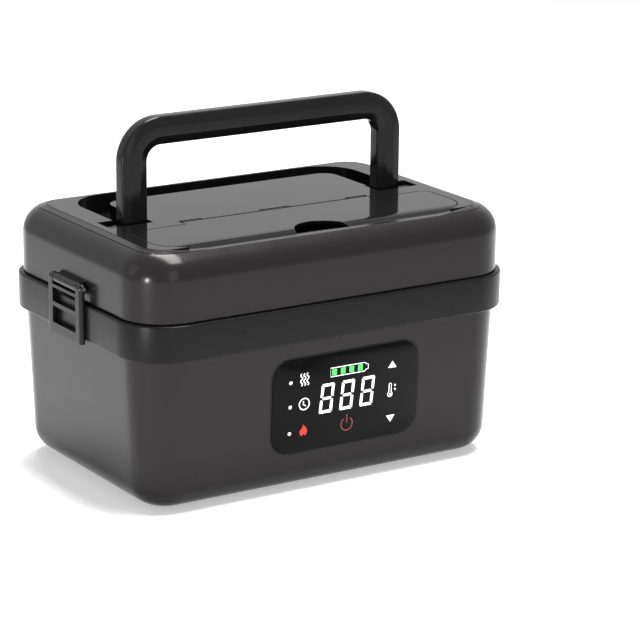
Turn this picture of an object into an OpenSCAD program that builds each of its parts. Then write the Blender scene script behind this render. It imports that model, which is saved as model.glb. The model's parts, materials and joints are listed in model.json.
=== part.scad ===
// Electric lunch box: tapered body with a heating well, lift-off lid with two end latches,
// folding carrying handle and a hinged flap over a cutlery compartment.
// Millimetres, +Z up, front is -Y, origin at the centre of the footprint.

/* [Lid] */
// Length of the lid
lid_length = 250; // [236:0.5:264]
// Depth of the lid from front to back
lid_depth = 167; // [156:0.5:178]
// Plan radius of the lid's corners
lid_corner = 27.5; // [24:0.5:32]
// Height of the lid's top
top_z = 153; // [148:0.5:158]
// Lower edge of the lid
lid_bottom = 113.8; // [113.7:0.1:115]
// Radius of the lid's top fillet
lid_fillet = 16; // [14:0.5:18]

/* [Body] */
// How far the band stands out from the lid
band_out = 2.9; // [2:0.1:4]
// Lower edge of the band
band_bottom = 92.2; // [90:0.1:94]
// Upper edge of the band
band_top = 113.5; // [113:0.1:113.6]
// Taper of the body's walls in degrees
taper = 2.5; // [1.5:0.1:3.5]
// Radius of the body's bottom fillet
base_fillet = 16; // [12:0.5:20]
// Height of the feet
foot_height = 2; // [1:0.1:4]
// Wall of the body and the lid
wall = 2.4; // [2:0.1:3]

/* [Handle] */
// Outer width of the handle
handle_width = 188; // [180:0.5:192]
// Width of the handle's legs
leg_width = 14.6; // [12:0.1:15]
// Thickness of the handle from front to back
handle_thick = 9.2; // [8:0.1:9.6]
// Top of the handle when it stands up
handle_top = 213; // [205:0.5:214]
// Outer radius of the handle's corners
handle_corner = 25.5; // [18:0.5:28]

/* [Flap] */
// Half length of the flap
flap_half = 102.7; // [98:0.1:103.5]
// Front edge of the flap
flap_front = -69.4; // [-70:0.1:-68]
// Rear edge of the flap beside its hinge
flap_rear = -22.9; // [-26:0.1:-20]
// Radius of the finger notch
notch_radius = 17.5; // [14:0.5:20]

/* [Panel] */
// Width of the display panel
panel_width = 102; // [90:0.5:110]
// Height of the display panel
panel_height = 58.7; // [50:0.1:62]
// Centre of the panel from the middle of the front
panel_x = 8.9; // [-15:0.1:15]
// Height of the panel's centre
panel_z = 53.35; // [48:0.05:58]
// Corner radius of the panel
panel_corner = 13; // [6:0.5:16]

/* [Food container] */
// Depth of the food container
container_depth = 60; // [50:0.5:62]
// Sheet thickness of the container
sheet = 0.8; // [0.6:0.1:1]

/* [Hidden] */
$fn = 72;
cx = lid_length / 2 - lid_corner;
cy = lid_depth / 2 - lid_corner;
band_r = lid_corner + band_out;
body_r = band_r - 4.7;
floor_z = foot_height;
taper_tan = tan(taper);
arc_turn = 67;
arc_cr = lid_corner - lid_fillet;
crease_z = top_z - 1.3;
arc_cz = crease_z - lid_fillet * sin(arc_turn);
crease_r = arc_cr + lid_fillet * cos(arc_turn);
seam_r = lid_corner - 14.4;
panel_thick = 2.6;
front_step = 1.6;

pivot_y = -1;
pivot_z = top_z - 6.2;
barrel_r = handle_thick / 2;
leg_out = handle_width / 2;
leg_in = leg_out - leg_width;
trough_out = leg_out + 1.7;
trough_in = leg_in - 0.7;
trough_floor = top_z - 12;
trough_rear = pivot_y + handle_top - pivot_z + 1.8;
trough_mid = pivot_y + handle_top - leg_width - pivot_z - 2.6;
well_in = leg_in - 2;
well_out = leg_out + 12;
well_front = pivot_y - 8.2;
well_rear = pivot_y + 7;

hinge_y = -16.2;
hinge_z = top_z - 1.6;
hinge_half = 63.6;
knuckle_r = 1.6;
flap_pin_r = 0.7;
flap_gap = 0.6;
tray_floor = 126;

latch_pin_x = lid_length / 2 + 3.2;
latch_pin_z = 122;
latch_half = 20;
lug_half = 13.6;
latch_pin_r = 1.25;
latch_arm_r = 2.9;
screw_r = 1.4;
cover_thick = 2.15;
board_x = 62;
board_z = 12;

well_cx = 84.5;
well_cy = 45.5;
pot_r = 18.5;
well_r = 20;
pot_top = 112.2;

body_front = cy + body_r;
panel_y = -(body_front - (band_bottom - panel_z) * taper_tan);

// Sweeps a profile (radius from the corner's centre, height) round a rounded rectangle.
module sweep(ax = cx, ay = cy) {
  for (sx = [0, 1], sy = [0, 1])
    mirror([sx, 0, 0]) mirror([0, sy, 0])
      translate([ax, ay, 0]) rotate_extrude(angle = 90) children();
  for (s = [0, 1]) {
    mirror([s, 0, 0]) translate([ax, ay, 0]) rotate([90, 0, 0])
      linear_extrude(height = 2 * ay) children();
    mirror([0, s, 0]) translate([-ax, ay, 0]) rotate([90, 0, 90])
      linear_extrude(height = 2 * ax) children();
  }
}

// A rounded rectangle slab centred on the axis.
module slab(hx, hy, r, z0, z1) {
  translate([0, 0, z0]) linear_extrude(height = z1 - z0) rounded(hx, hy, r);
}

module rounded(hx, hy, r) {
  square([2 * hx, 2 * (hy - r)], center = true);
  square([2 * (hx - r), 2 * hy], center = true);
  for (sx = [-1, 1], sy = [-1, 1]) translate([sx * (hx - r), sy * (hy - r)]) circle(r);
}

module box(x0, x1, y0, y1, z0, z1) {
  translate([x0, y0, z0]) cube([x1 - x0, y1 - y0, z1 - z0]);
}

module rod_x(x0, x1, y, z, r) {
  translate([x0, y, z]) rotate([0, 90, 0]) cylinder(h = x1 - x0, r = r);
}

module rod_y(x, y0, y1, z, r) {
  translate([x, y0, z]) rotate([-90, 0, 0]) cylinder(h = y1 - y0, r = r);
}

module post(x, y, z0, z1, r) {
  translate([x, y, z0]) cylinder(h = z1 - z0, r = r);
}

module both_x() {
  children();
  mirror([1, 0, 0]) children();
}

module both_y() {
  children();
  mirror([0, 1, 0]) children();
}

module all_corners() {
  both_x() both_y() children();
}

// A screw with a pan head and a cross slot; its head is the lower end, or the upper with up = -1.
module screw(x, y, z_head, length, up = 1, head = 1.8) {
  translate([x, y, z_head]) mirror([0, 0, up > 0 ? 0 : 1]) difference() {
    union() {
      cylinder(h = head, r = 2.7);
      cylinder(h = length, r = screw_r);
    }
    translate([-1.6, -0.35, -1]) cube([3.2, 0.7, 1 + head / 2]);
    translate([-0.35, -1.6, -1]) cube([0.7, 3.2, 1 + head / 2]);
  }
}

// Body.

// Half of a tub's profile: floor, fillet and a wall that leans out by slope, each moved in by inset.
module tub_outline(r_top, z_top, z_low, fillet, slope, inset) {
  arc_z = z_low + fillet;
  arc_r = r_top - (fillet + (z_top - arc_z) * sin(slope)) / cos(slope);
  r1 = fillet - inset;
  polygon([[0, z_low + inset], [arc_r, z_low + inset], [arc_r, arc_z],
    [arc_r + r1 * cos(slope), arc_z - r1 * sin(slope)], [r_top - inset / cos(slope), z_top], [0, z_top]]);
  intersection() {
    translate([arc_r, arc_z]) circle(r1);
    polygon([[arc_r, arc_z + 0.5], [arc_r, z_low - 1], [arc_r + 2 * fillet, z_low - 1],
      [arc_r + 2 * fillet, arc_z + 0.5 - 2 * fillet * tan(slope)]]);
  }
}

module body_outline(inset) {
  tub_outline(body_r, band_bottom, floor_z, base_fillet, taper, inset);
  translate([0, band_bottom]) square([body_r - inset / cos(taper), 110 - band_bottom]);
}

module outer_shell() color("dimgray") difference() {
  union() {
    sweep() difference() {
      body_outline(0);
      body_outline(wall);
    }
    box(-cx, cx, -cy, cy, floor_z, floor_z + wall);
    slab(100, 58, 10, floor_z + wall - 0.4, floor_z + wall + 1.6);
    for (x = [-60, 0, 60]) for (s = [-1, 1]) post(x, 51 * s, floor_z + wall + 1, 14, 3.2);
    all_corners() {
      post(cx + 10.5, cy + 10.5, 9, 109.2, 3.6);
      translate([cx + 10.5, cy + 10.5, 42]) rotate([0, 0, 45]) translate([0, -1, 0]) cube([8, 2, 26]);
    }
  }
  slab(88, 48, 8, floor_z - 1, floor_z + wall + 2);
  slab(95, 54, 9, floor_z - 1, floor_z + cover_thick + 0.05);
  for (x = [-60, 0, 60]) for (s = [-1, 1]) post(x, 51 * s, floor_z, 12.5, screw_r + 0.03);
  panel_recess();
  inlet_hole();
}

module tilt_front() {
  translate([panel_x, panel_y, panel_z]) rotate([taper, 0, 0]) rotate([90, 0, 0]) children();
}

module panel_outline(grow) {
  rounded(panel_width / 2 + grow, panel_height / 2 + grow, panel_corner + grow);
}

module panel_recess() {
  tilt_front() {
    translate([0, 0, -1.6]) linear_extrude(height = 5) panel_outline(0.05);
    translate([0, 0, -6]) linear_extrude(height = 8) panel_outline(-4);
  }
}

inlet_x = 60;
inlet_z = 24;
module inlet_hole() {
  rod_y(inlet_x, 60, 90, inlet_z, 6);
}

module collar_band() color("#2c2c2e") sweep() difference() {
  union() {
    translate([body_r + 0.05, band_bottom]) square([band_r - body_r - 1.25, band_top - band_bottom]);
    translate([body_r + 0.05, band_bottom + 1.2])
      square([band_r - body_r - 0.05, band_top - band_bottom - 2.4]);
    translate([band_r - 1.2, band_bottom + 1.2]) circle(1.2);
    translate([band_r - 1.2, band_top - 1.2]) circle(1.2);
    translate([17, 110.4]) square([band_r - 18.4, band_top - 110.4]);
  }
  translate([body_r - 1, band_bottom + 2.4]) square([band_r - body_r - 1.4, 15.8]);
}

module bottom_cover() color("#26262a") difference() {
  union() {
    slab(94.8, 53.8, 8.8, floor_z, floor_z + cover_thick);
    for (x = [-80 : 20 : 80]) box(x - 0.8, x + 0.8, -46, 46, floor_z + 2, 6.05);
    for (sx = [-1, 1], sy = [-1, 1]) post(board_x + sx * 23, sy * 40, floor_z + 2, board_z - 0.02, 3.2);
  }
  all_corners() post(84, 44, floor_z - 1, floor_z + 1, 7.1);
  for (x = [-60, 0, 60]) for (s = [-1, 1]) {
    post(x, 51 * s, floor_z - 1, floor_z + 1.3, 3);
    post(x, 51 * s, floor_z - 1, floor_z + 8, 1.6);
  }
  for (sx = [-1, 1], sy = [-1, 1])
    post(board_x + sx * 23, sy * 40, board_z - 5, board_z + 1, screw_r + 0.03);
}

module rubber_feet() color("#161616") all_corners() union() {
  post(84, 44, 0.6, floor_z + 0.98, 7);
  translate([84, 44, 0]) cylinder(h = 0.62, r1 = 6.3, r2 = 7);
}

module bottom_screws() color("silver") {
  for (x = [-60, 0, 60]) for (s = [-1, 1]) screw(x, 51 * s, floor_z + 0.08, 9, 1, 1.2);
}

// Heating well and what is under it.

liner_floor = pot_top - container_depth - 1 - 1.7;
module inner_liner() color("#b9bcc0") difference() {
  union() {
    sweep(well_cx, well_cy) {
      difference() {
        union() {
          translate([0, liner_floor]) square([well_r + 1, 2]);
          translate([well_r, liner_floor]) square([1, 110.3 - liner_floor]);
          translate([well_r, 109.3]) square([13, 1]);
          translate([well_r - 6, liner_floor + 1]) square([6, 5]);
        }
        translate([0, liner_floor + 1]) square([well_r - 6, 5]);
        translate([well_r - 6, liner_floor + 7]) circle(6);
      }
    }
    box(-well_cx, well_cx, -well_cy, well_cy, liner_floor, liner_floor + 1);
  }
  post(0, 0, liner_floor - 1, liner_floor + 2, 5.2);
}

module heating_plate() color("#c9cbce") difference() {
  union() {
    slab(92, 53, 14, liner_floor - 4, liner_floor - 0.05);
    for (y = [-36, 0, 36]) box(-86, 86, y - 1, y + 1, liner_floor - 6, liner_floor - 3.9);
  }
  post(0, 0, liner_floor - 9, liner_floor + 2, 5.2);
}

module heater_bars() color("#8f8a80") {
  for (y = [-20, 20]) for (s = [-1, 1]) box(s > 0 ? 14 : -84, s > 0 ? 84 : -14, y - 9, y + 9,
    liner_floor - 8, liner_floor - 4.05);
}

module heater_clamp() color("silver") {
  for (s = [-1, 1]) for (x = [30, 68]) union() {
    box(s * x - 5, s * x + 5, -34, 34, liner_floor - 9.2, liner_floor - 8.05);
    for (y = [-34, 32.8]) box(s * x - 5, s * x + 5, y, y + 1.2, liner_floor - 9.2, liner_floor - 4.05);
  }
}

module insulation_pad() color("#d8d3c6") difference() {
  slab(96, 56, 14, liner_floor - 14.5, liner_floor - 9.4);
  post(0, 0, liner_floor - 15, liner_floor, 6);
  box(84, 100, -12, 12, liner_floor - 15, liner_floor);
}

module temperature_probe() color("#e6e2d8") union() {
  post(0, 0, liner_floor - 9, liner_floor + 0.9, 4.6);
  post(0, 0, liner_floor - 14, liner_floor - 8.5, 3);
  post(0, 0, liner_floor - 9.2, liner_floor - 7.4, 5);
}

module thermal_fuse() color("#b89b5e") union() {
  rod_y(89.5, -8, 8, liner_floor - 6.4, 2.2);
  rod_y(89.5, -19, 19, liner_floor - 6.4, 0.6);
}

// Battery, control board.

cell_r = 9.2;
cell_z = 18;
cell_start = -104;
module cells_at() {
  for (i = [0 : 3], j = [0, 1]) translate([cell_start + j * 66.6, -28.5 + i * 19, cell_z]) children();
}

module battery_cells() color("#3f7f9d") cells_at() rotate([0, 90, 0]) union() {
  cylinder(h = 64.6, r = cell_r);
  translate([0, 0, 64.5]) cylinder(h = 0.6, r = 3);
}

module cell_holder() color("#222226") difference() {
  for (x = [4, 54, 70, 124]) box(cell_start + x - 3, cell_start + x + 3, -39.5, 39.5, 6.1, cell_z + 6);
  for (i = [0 : 3]) rod_x(cell_start - 5, cell_start + 140, -28.5 + i * 19, cell_z, cell_r + 0.1);
}

module cell_straps() color("silver") {
  for (x = [cell_start - 0.7, cell_start + 131.75]) for (i = [0, 2])
    box(x, x + 0.6, -28.5 + i * 19 - 3, -9.5 + i * 19 + 3, cell_z - 3, cell_z + 3);
}

module control_board() color("#1f5a3a") difference() {
  slab_at(board_x, 0, 28, 44, 2, board_z, board_z + 1.6);
  for (sx = [-1, 1], sy = [-1, 1]) post(board_x + sx * 23, sy * 40, board_z - 1, board_z + 3, 1.6);
}

module slab_at(x, y, hx, hy, r, z0, z1) {
  translate([x, y, 0]) slab(hx, hy, r, z0, z1);
}

module board_coils() color("#8c4a2a") {
  for (y = [-24, 24]) translate([board_x - 14, y, board_z + 1.62]) difference() {
    cylinder(h = 9, r = 9);
    translate([0, 0, -1]) cylinder(h = 11, r = 3.6);
  }
}

module board_capacitors() color("#20242c") {
  for (y = [-9, 3, 15]) for (x = [10, 22]) post(board_x + x, y, board_z + 1.62, board_z + 14, 4.6);
}

module power_switches() color("#151515") translate([board_x, 0, board_z + 1.62]) {
  for (y = [-38, -28]) union() {
    box(2, 12, y - 3.6, y + 4, 0, 4.3);
    for (x = [4, 7, 10]) box(x - 0.4, x + 0.4, y - 5, y - 3.5, 0, 1.4);
  }
}

module heat_sink() color("#a9adb1") translate([board_x, 0, board_z]) difference() {
  box(1, 26, -43, -24, 6.02, 18);
  for (y = [-41 : 4 : -25]) box(0, 27, y, y + 2.4, 8, 19);
}

module connectors() color("#e4e0d2") {
  for (x = [-18, -5, 8]) box(board_x + x, board_x + x + 10, 33.5, 40, board_z + 1.62, board_z + 9);
  box(board_x - 27, board_x - 18, -6, 10, board_z + 1.62, board_z + 8);
}

module board_screws() color("silver") {
  for (sx = [-1, 1], sy = [-1, 1]) screw(board_x + sx * 23, sy * 40, board_z + 3.42, 7, -1);
}

// Display.

module panel_glass() color("#0d0e12") tilt_front() {
  translate([0, 0, -1.55]) linear_extrude(height = 1.95) panel_outline(-1.15);
}

module panel_bezel() color("#1b1b1f") tilt_front() difference() {
  translate([0, 0, -1.55]) linear_extrude(height = 1.8) panel_outline(0);
  translate([0, 0, -3]) linear_extrude(height = 6) panel_outline(-1.1);
}

module display_board() color("#1f5a3a") tilt_front() difference() {
  translate([0, 0, -9.2]) linear_extrude(height = 1.4) rounded(44, 22, 3);
  for (sx = [-1, 1], sy = [-1, 1]) translate([sx * 40, sy * 18, -10]) cylinder(h = 4, r = 1.3);
}

module digit_block() color("#f3f3f0") tilt_front() {
  translate([0.9, 1.4, -7.75]) linear_extrude(height = 6.1) difference() {
    rounded(21.5, 11.5, 1);
    for (x = [-14, 0, 14]) translate([x, 0]) difference() {
      square([9, 18], center = true);
      square([6.6, 15.6], center = true);
      square([9, 1.2], center = true);
    }
  }
}

module indicator_lights() color("#e9e9e2") tilt_front() {
  for (x = [-37.8, -28.5], y = [-16.3, -0.2, 14.5]) translate([x, y, -7.75]) cylinder(h = 6.1, r = 1.6);
  for (x = [-6 : 5.6 : 12]) translate([x, 16.3, -7.75]) linear_extrude(height = 6.1)
    square([3.4, 2.6], center = true);
}

module touch_springs() color("#b9a46a") tilt_front() {
  for (y = [-17.6, 15]) translate([31.7, y, -7.75]) difference() {
    cylinder(h = 6.1, r = 3.4);
    translate([0, 0, -1]) cylinder(h = 8, r = 2.7);
  }
  translate([1, -16, -7.75]) difference() {
    cylinder(h = 6.1, r = 3.4);
    translate([0, 0, -1]) cylinder(h = 8, r = 2.7);
  }
}

// Charging inlet in the back, wires.

inlet_back = body_front - (band_bottom - inlet_z) * taper_tan;
module inlet_frame() {
  translate([inlet_x, inlet_back, inlet_z]) rotate([-taper, 0, 0]) rotate([-90, 0, 0]) children();
}

module charging_inlet() color("#111113") inlet_frame() difference() {
  union() {
    translate([0, 0, -12]) cylinder(h = 12.4, r = 5.8);
    cylinder(h = 1.4, r = 7.6);
    translate([0, 0, -15]) cylinder(h = 4, r = 4.4);
  }
  difference() {
    translate([0, 0, -9]) cylinder(h = 12, r = 3.2);
    translate([0, 0, -10]) cylinder(h = 10, r = 0.9);
  }
}

module inlet_nut() color("silver") inlet_frame() translate([0, 0, -5.2]) difference() {
  cylinder(h = 2.4, r = 9, $fn = 6);
  translate([0, 0, -1]) cylinder(h = 5, r = 5.85);
}

module inlet_ring() color("#b9bcc0") inlet_frame() difference() {
  translate([0, 0, 0.02]) cylinder(h = 1, r = 9);
  translate([0, 0, -1]) cylinder(h = 4, r = 7.65);
}

// A round wire along straight runs that each follow an axis, with quarter bends between them.
bend_r = 2;
module wire(points, r) {
  last = len(points) - 2;
  for (i = [0 : last]) {
    run = points[i + 1] - points[i];
    way = run / norm(run);
    lead = i > 0 ? bend_r : 0;
    tail = i < last ? bend_r : 0;
    translate(points[i] + way * lead) rotate([0, acos(way[2]), atan2(way[1], way[0])])
      cylinder(h = norm(run) - lead - tail, r = r);
    if (i < last) {
      turn = points[i + 2] - points[i + 1];
      next = turn / norm(turn);
      up = cross(way, next);
      mid = points[i + 1] + (next - way) * bend_r;
      multmatrix([[-next[0], way[0], up[0], mid[0]], [-next[1], way[1], up[1], mid[1]],
        [-next[2], way[2], up[2], mid[2]], [0, 0, 0, 1]])
        rotate_extrude(angle = 90) translate([bend_r, 0]) circle(r);
    }
  }
}

module heater_wires() color("#b3341f") {
  wire([[84.1, 20, 43.5], [99, 20, 43.5], [99, 20, 30], [99, 37, 30], [62, 37, 30], [62, 37, 21.1]], 0.9);
  wire([[84.1, -20, 43.5], [103, -20, 43.5], [103, -20, 32.5], [103, 43, 32.5], [49, 43, 32.5],
    [49, 37, 32.5], [49, 37, 21.1]], 0.9);
  for (y = [-20, 20]) rod_x(-13.9, 13.9, y, 43.5, 0.9);
}

module battery_wires() color("#20242c") {
  wire([[28.5, -19, 19], [33, -19, 19], [33, -19, 28], [33, -3, 28], [41, -3, 28], [41, -3, 20.1]], 1.1);
  wire([[28.5, 19, 19], [33, 19, 19], [33, 19, 31], [33, 5, 31], [41, 5, 31], [41, 5, 20.1]], 1.1);
}

module display_ribbon() color("#d9d9d4") {
  box(35.2, 39.6, -69.6, -69.2, 24, 36);
  box(35.2, 39.6, -69.6, -4, 24, 24.4);
  box(35.2, 39.6, -4.4, -4, 20.05, 24.4);
}

module inlet_wires() color("#8c1f1f") {
  wire([[62, 63.2, 27], [62, 53, 27], [78, 53, 27], [78, 37, 27], [78, 37, 21.1]], 0.9);
  wire([[57.5, 63.2, 27], [57.5, 49.5, 27], [72.5, 49.5, 27], [72.5, 37, 27], [72.5, 37, 21.1]], 0.9);
}

// Container.

module food_container() color("#c9ccd0") {
  sweep(well_cx, well_cy) {
    difference() {
      tub_outline(pot_r, pot_top - 0.4, pot_top - container_depth, 9, 5, 0);
      tub_outline(pot_r, pot_top - 0.4, pot_top - container_depth, 9, 5, sheet);
    }
    translate([pot_r - sheet, pot_top - sheet]) square([sheet + 7.2, sheet]);
    translate([pot_r + 7.2, pot_top - 0.8]) circle(0.8);
  }
  box(-well_cx, well_cx, -well_cy, well_cy, pot_top - container_depth, pot_top - container_depth + sheet);
}

// Lid.

module lid_outline(inset) {
  r1 = lid_fillet - inset;
  polygon([[0, lid_bottom - 1], [lid_corner - inset, lid_bottom - 1], [lid_corner - inset, arc_cz],
    [arc_cr, arc_cz], [arc_cr + r1 * cos(arc_turn), arc_cz + r1 * sin(arc_turn)],
    [seam_r, top_z - 0.05 - inset], [0, top_z - 0.05 - inset]]);
  intersection() {
    translate([arc_cr, arc_cz]) circle(r1);
    polygon([[arc_cr, arc_cz], [arc_cr + 30, arc_cz],
      [arc_cr + 30, arc_cz + 30 * tan(arc_turn)]]);
  }
}

// Lowers the rim along the front so that the flap's front bevel shows.
module front_lowering(z) {
  translate([0, -60, 0]) rotate([90, 0, 0]) linear_extrude(height = 20)
    polygon([[-88, z], [88, z], [106, z + 1.8], [106, z + 5], [-106, z + 5], [-106, z + 1.8]]);
}

module lid_shell() color("#47464a") difference() {
  union() {
    sweep() difference() {
      lid_outline(0);
      lid_outline(wall);
      translate([-1, 100]) square([seam_r + 1, 60]);
      translate([-1, lid_bottom - 2]) square([40, 2]);
    }
    sweep() translate([seam_r - 1.6, top_z - 4.8]) square([4.8, 2]);
    latch_lugs();
    all_corners() post(112, 66, 121, 148, 3.6);
  }
  front_lowering(top_z - front_step);
  latch_pin_bores();
  all_corners() post(112, 66, 119, 135, screw_r + 0.03);
  slab(cx + seam_r + 0.05, cy + seam_r + 0.05, seam_r + 0.05, top_z - 2.75, top_z + 1);
  translate([0, 0, top_z - 2.75]) linear_extrude(height = 6) flap_plan(flap_gap);
  trough_cut(top_z - 8, top_z - 2.6, 1.9);
}

module latch_lugs() {
  both_x() {
    rod_y(latch_pin_x, -lug_half, lug_half, latch_pin_z, latch_arm_r);
    box(lid_length / 2 - 0.6, latch_pin_x, -lug_half, lug_half, latch_pin_z, latch_pin_z + latch_arm_r);
  }
}

module latch_pin_bores() {
  both_x() rod_y(latch_pin_x, -20, 20, latch_pin_z, latch_pin_r + 0.01);
}

// The opening for the flap in the top panel, grown by a gap.
module flap_plan(grow) {
  r = 21 + grow;
  w = flap_half + grow;
  f = flap_front - grow;
  b = flap_rear + grow;
  rb = 7 + grow;
  translate([-w + r, f]) square([2 * (w - r), b - f]);
  translate([-w, f + r]) square([2 * w, b - rb - f - r]);
  translate([-w + rb, b - rb - 1]) square([2 * (w - rb), rb + 1]);
  for (s = [-1, 1]) {
    translate([s * (w - r), f + r]) circle(r);
    translate([s * (w - rb), b - rb]) circle(rb);
  }
}

module trough_cut(z0, z1, grow) {
  translate([0, 0, z0]) linear_extrude(height = z1 - z0) difference() {
    union() {
      translate([-trough_out - grow, well_front - grow])
        square([2 * (trough_out + grow), trough_rear - 24.5 - well_front + grow]);
      translate([-trough_out + 24.5, trough_rear - 25])
        square([2 * (trough_out - 24.5), 25 + grow]);
      for (s = [-1, 1]) translate([s * (trough_out - 24.5), trough_rear - 24.5]) circle(24.5 + grow);
    }
    translate([-trough_in + grow, well_front - 5])
      square([2 * (trough_in - grow), trough_mid - 10 - well_front + 5]);
    translate([-trough_in + 10, trough_mid - 11]) square([2 * (trough_in - 10), 11 - grow]);
    for (s = [-1, 1]) translate([s * (trough_in - 10), trough_mid - 10]) circle(10 - grow);
  }
}

module leg_wells(z0, z1, grow) {
  both_x() box(well_in - grow, well_out + grow, well_front - grow, well_rear + grow, z0, z1);
}

module top_panel() color("#17171a") difference() {
  union() {
    difference() {
      slab(cx + seam_r - 0.1, cy + seam_r - 0.1, seam_r - 0.1, top_z - 2.7, top_z);
      translate([0, 0, top_z - 5]) linear_extrude(height = 10) {
        flap_plan(flap_gap);
        translate([-hinge_half - flap_gap, flap_rear - 1])
          square([2 * (hinge_half + flap_gap), hinge_y + knuckle_r + 0.3 - flap_rear + 1]);
      }
    }
    trough_cut(trough_floor - 1.8, top_z - 2.5, 1.8);
    leg_wells(trough_floor - 1.8, top_z - 2.5, 1.8);
    both_x() rod_x(well_in - 4.5, well_out + 2.6, pivot_y, pivot_z, 4.4);
    for (x = [-30, 30]) {
      rod_x(x - 19.5, x + 19.5, hinge_y, hinge_z, knuckle_r);
      box(x - 19.5, x + 19.5, hinge_y + 0.4, hinge_y + 3, top_z - 2.7, top_z);
    }
    for (s = [-1, 1]) {
      post(s * 60, 30, top_z - 12, top_z - 2, 3.4);
      post(s * 60, -5, top_z - 12, top_z - 2, 3.4);
    }
  }
  trough_cut(trough_floor, top_z + 1, 0);
  leg_wells(trough_floor, top_z + 1, 0);
  both_x() rod_x(well_in - 3, well_out + 2, pivot_y, pivot_z, 2.02);
  rod_x(-hinge_half + 1, hinge_half - 1, hinge_y, hinge_z, flap_pin_r + 0.01);
  for (s = [-1, 1]) for (y = [-5, 30]) post(s * 60, y, top_z - 13, top_z - 4, screw_r + 0.03);
}

module compartment_tray() color("#26262a") difference() {
  union() {
    slab_at(0, -45, 101, 20.8, 18, tray_floor, top_z - 4.5);
    slab_at(0, -45, 105.5, 22.2, 19, top_z - 4.9, top_z - 2.85);
    for (s = [-1, 1]) box(s * 60 - 5, s * 60 + 5, -25, 35, top_z - 13.2, top_z - 12.02);
  }
  slab_at(0, -45, 99.4, 19.2, 16.4, tray_floor + 1.6, top_z);
  for (s = [-1, 1]) for (y = [-5, 30]) post(s * 60, y, top_z - 14, top_z - 10, 1.6);
}

module lid_liner() color("#d5d5d2") difference() {
  union() {
    slab(cx + 24.8, cy + 24.8, 24.8, 118.4, 120.4);
    sweep() translate([22.4, 114.2]) square([2.4, 4.3]);
    sweep(well_cx, well_cy) {
      translate([20.2, 114.6]) square([1.4, 4]);
      translate([25.6, 114.6]) square([1.4, 4]);
    }
  }
  all_corners() post(112, 66, 117, 122, 1.6);
}

module lid_seal() color("#8f9194") sweep(well_cx, well_cy) union() {
  translate([21.65, 114.8]) square([3.9, 3.55]);
  translate([23.6, 114.4]) circle(1.9);
}

module lid_screws() color("silver") {
  all_corners() screw(112, 66, 116.6, 13);
}

module top_screws() color("silver") {
  for (s = [-1, 1]) for (y = [-5, 30]) screw(s * 60, y, top_z - 15.02, 9);
}

module handle_pins() color("silver") both_x() {
  rod_x(well_in - 3, well_out + 2, pivot_y, pivot_z, 2);
}

module flap_pin() color("silver") {
  rod_x(-hinge_half + 1, hinge_half - 1, hinge_y, hinge_z, flap_pin_r);
}

module latch_pins() color("silver") {
  both_x() rod_y(latch_pin_x, -latch_half + 1.5, latch_half - 1.5, latch_pin_z, latch_pin_r);
}

// Handle, with a section that has three facets at the front and at the back.

module handle_section() {
  h = handle_thick / 2;
  w = leg_width / 2;
  polygon([[-w, -h + 1.7], [-w + 0.6, -h + 1], [-2.45, -h], [2.45, -h], [w - 0.6, -h + 1],
    [w, -h + 1.7], [w, h - 1.7], [w - 0.6, h - 1], [2.45, h], [-2.45, h], [-w + 0.6, h - 1],
    [-w, h - 1.7]]);
}

module handle() color("#141416") difference() {
  union() {
    both_x() {
      translate([leg_out - leg_width / 2, pivot_y, pivot_z])
        linear_extrude(height = handle_top - handle_corner - pivot_z) handle_section();
      translate([leg_out - handle_corner, pivot_y, handle_top - handle_corner]) rotate([90, 0, 0])
        rotate_extrude(angle = 90) translate([handle_corner - leg_width / 2, 0]) rotate(0) handle_section();
      rod_x(well_in + 0.4, well_out - 0.4, pivot_y, pivot_z, barrel_r);
    }
    translate([-leg_out + handle_corner, pivot_y, handle_top - leg_width / 2]) rotate([0, 90, 0])
      linear_extrude(height = 2 * (leg_out - handle_corner)) rotate(0) handle_section();
  }
  both_x() rod_x(well_in - 3, well_out + 2, pivot_y, pivot_z, 2.03);
}

// Flap.

module flap() color("#17171a") difference() {
  union() {
    intersection() {
      union() {
        translate([0, 0, top_z - 2.4]) linear_extrude(height = 2.4) flap_plan(0);
        translate([-hinge_half, flap_rear - 1, top_z - 2.4])
          cube([2 * hinge_half, hinge_y - 1.9 - flap_rear + 1, 2.4]);
      }
      front_bevel();
    }
    for (x = [-56.5, 0, 56.5]) {
      w = x == 0 ? 10 : 6;
      rod_x(x - w, x + w, hinge_y, hinge_z, knuckle_r);
      box(x - w, x + w, hinge_y - 2.2, hinge_y, hinge_z - knuckle_r, hinge_z);
    }
    box(-85, -30, -62, -60.6, top_z - 5, top_z - 2.3);
    box(30, 85, -62, -60.6, top_z - 5, top_z - 2.3);
    box(-85, 85, -28, -26.6, top_z - 5, top_z - 2.3);
  }
  post(0, flap_front - 1, top_z - 6, top_z + 2, notch_radius);
  rod_x(-hinge_half - 1, hinge_half + 1, hinge_y, hinge_z, flap_pin_r + 0.03);
}

// Everything below the slope that runs down to the flap's front edge.
module front_bevel() {
  translate([-120, 0, 0]) rotate([90, 0, 90]) linear_extrude(height = 240)
    polygon([[0, top_z + 0.5], [0, top_z - 4], [flap_front - 1, top_z - 4],
      [flap_front - 1, top_z - front_step - 0.35], [flap_front + 1.4, top_z - front_step + 0.25],
      [flap_front + 3.6, top_z - 0.45], [flap_front + 6, top_z - 0.06], [flap_front + 9, top_z],
      [flap_front + 9, top_z + 0.5]]);
}

// Latch, drawn for the left end: plate with a window and a bar, arms round the pin, claw below.

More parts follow.
